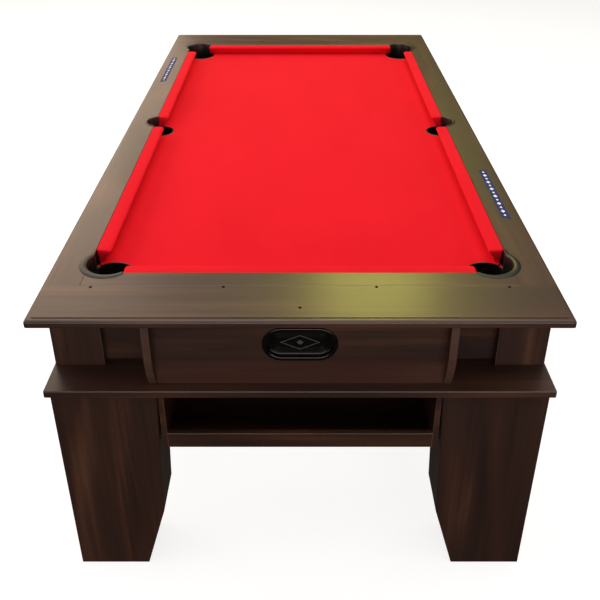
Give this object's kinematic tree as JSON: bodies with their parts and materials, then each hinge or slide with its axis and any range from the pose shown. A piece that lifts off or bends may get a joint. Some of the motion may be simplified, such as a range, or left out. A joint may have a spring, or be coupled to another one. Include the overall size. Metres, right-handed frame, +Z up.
{
  "type": "pool table",
  "caption": "Home pool table in dark walnut board with red cloth, drop pockets, an open ball tray at one end and tapered box legs on levelling feet.",
  "frame": {"origin": "on the floor, under the middle of the table", "axes": "+Z up, +Y along the length away from the ball tray, +X across the table to the right of a player standing at the tray"},
  "size_m": [1.22, 2.4, 0.82],
  "materials": {
    "walnut_board": "satin dark walnut laminate with vertical or lengthwise grain",
    "bed_board": "raw fibreboard",
    "frame_timber": "planed softwood",
    "return_board": "black hardboard",
    "red_cloth": "napped woollen cloth",
    "cushion_cloth": "napped woollen cloth over rubber",
    "black_liner": "satin moulded",
    "black_gloss": "gloss moulded",
    "screw_steel": "dark zinc plated",
    "foot_rubber": "matte"
  },
  "bodies": {
    "table": {"side_rail_left": "walnut_board", "side_rail_right": "walnut_board", "front_rail_inner": "walnut_board", "rear_rail_inner": "walnut_board", "front_rail_outer": "walnut_board", "rear_rail_outer": "walnut_board", "apron_left": "walnut_board", "apron_right": "walnut_board", "front_apron": "walnut_board", "rear_apron": "walnut_board", "front_centre_panel": "walnut_board", "rear_centre_panel": "walnut_board", "ledge_front": "walnut_board", "ledge_rear": "walnut_board", "ledge_left": "walnut_board", "ledge_right": "walnut_board", "tray_lip": "walnut_board", "tray_floor": "walnut_board", "tray_back": "walnut_board", "tray_sides": "walnut_board", "corner_block_front_right": "walnut_board", "corner_block_front_left": "walnut_board", "corner_block_rear_right": "walnut_board", "corner_block_rear_left": "walnut_board", "bracket_front_right": "walnut_board", "bracket_front_left": "walnut_board", "bracket_rear_right": "walnut_board", "bracket_rear_left": "walnut_board", "leg_front_right": "walnut_board", "leg_front_left": "walnut_board", "leg_rear_right": "walnut_board", "leg_rear_left": "walnut_board", "bed_slab": "bed_board", "bed_crossbars": "frame_timber", "bed_cloth": "red_cloth", "front_cushion": "cushion_cloth", "rear_cushion": "cushion_cloth", "left_front_cushion": "cushion_cloth", "left_rear_cushion": "cushion_cloth", "right_front_cushion": "cushion_cloth", "right_rear_cushion": "cushion_cloth", "pocket_liner_front_right": "black_liner", "pocket_liner_front_left": "black_liner", "pocket_liner_rear_right": "black_liner", "pocket_liner_rear_left": "black_liner", "pocket_liner_side_right": "black_liner", "pocket_liner_side_left": "black_liner", "oval_badge": "black_gloss", "ball_runway_left": "return_board", "ball_runway_right": "return_board", "cross_chute": "return_board", "rail_screws": "screw_steel"},
    "pad_front_right": {"foot_pad_front_right": "foot_rubber"},
    "stud_front_right": {"foot_stud_front_right": "screw_steel"},
    "pad_front_left": {"foot_pad_front_left": "foot_rubber"},
    "stud_front_left": {"foot_stud_front_left": "screw_steel"},
    "pad_rear_right": {"foot_pad_rear_right": "foot_rubber"},
    "stud_rear_right": {"foot_stud_rear_right": "screw_steel"},
    "pad_rear_left": {"foot_pad_rear_left": "foot_rubber"},
    "stud_rear_left": {"foot_stud_rear_left": "screw_steel"}
  },
  "joints": [
    {"name": "pad_slide_front_right", "type": "slide", "parent": "table", "child": "pad_front_right", "axis": [0, 0, -1], "range_m": [0, 0.018]},
    {"name": "stud_turn_front_right", "type": "hinge", "parent": "pad_front_right", "child": "stud_front_right", "pos_m": [0.4995, -1.115, 0], "axis": [0, 0, -1], "range_deg": [0, 4320]},
    {"name": "pad_slide_front_left", "type": "slide", "parent": "table", "child": "pad_front_left", "axis": [0, 0, -1], "range_m": [0, 0.018]},
    {"name": "stud_turn_front_left", "type": "hinge", "parent": "pad_front_left", "child": "stud_front_left", "pos_m": [-0.4995, -1.115, 0], "axis": [0, 0, -1], "range_deg": [0, 4320]},
    {"name": "pad_slide_rear_right", "type": "slide", "parent": "table", "child": "pad_rear_right", "axis": [0, 0, -1], "range_m": [0, 0.018]},
    {"name": "stud_turn_rear_right", "type": "hinge", "parent": "pad_rear_right", "child": "stud_rear_right", "pos_m": [0.4995, 1.115, 0], "axis": [0, 0, -1], "range_deg": [0, 4320]},
    {"name": "pad_slide_rear_left", "type": "slide", "parent": "table", "child": "pad_rear_left", "axis": [0, 0, -1], "range_m": [0, 0.018]},
    {"name": "stud_turn_rear_left", "type": "hinge", "parent": "pad_rear_left", "child": "stud_rear_left", "pos_m": [-0.4995, 1.115, 0], "axis": [0, 0, -1], "range_deg": [0, 4320]}
  ],
  "couplings": [
    {"joint": "pad_slide_front_right", "follows": "stud_turn_front_right", "m_per_rad": 0.00023873},
    {"joint": "pad_slide_front_left", "follows": "stud_turn_front_left", "m_per_rad": 0.00023873},
    {"joint": "pad_slide_rear_right", "follows": "stud_turn_rear_right", "m_per_rad": 0.00023873},
    {"joint": "pad_slide_rear_left", "follows": "stud_turn_rear_left", "m_per_rad": 0.00023873}
  ]
}
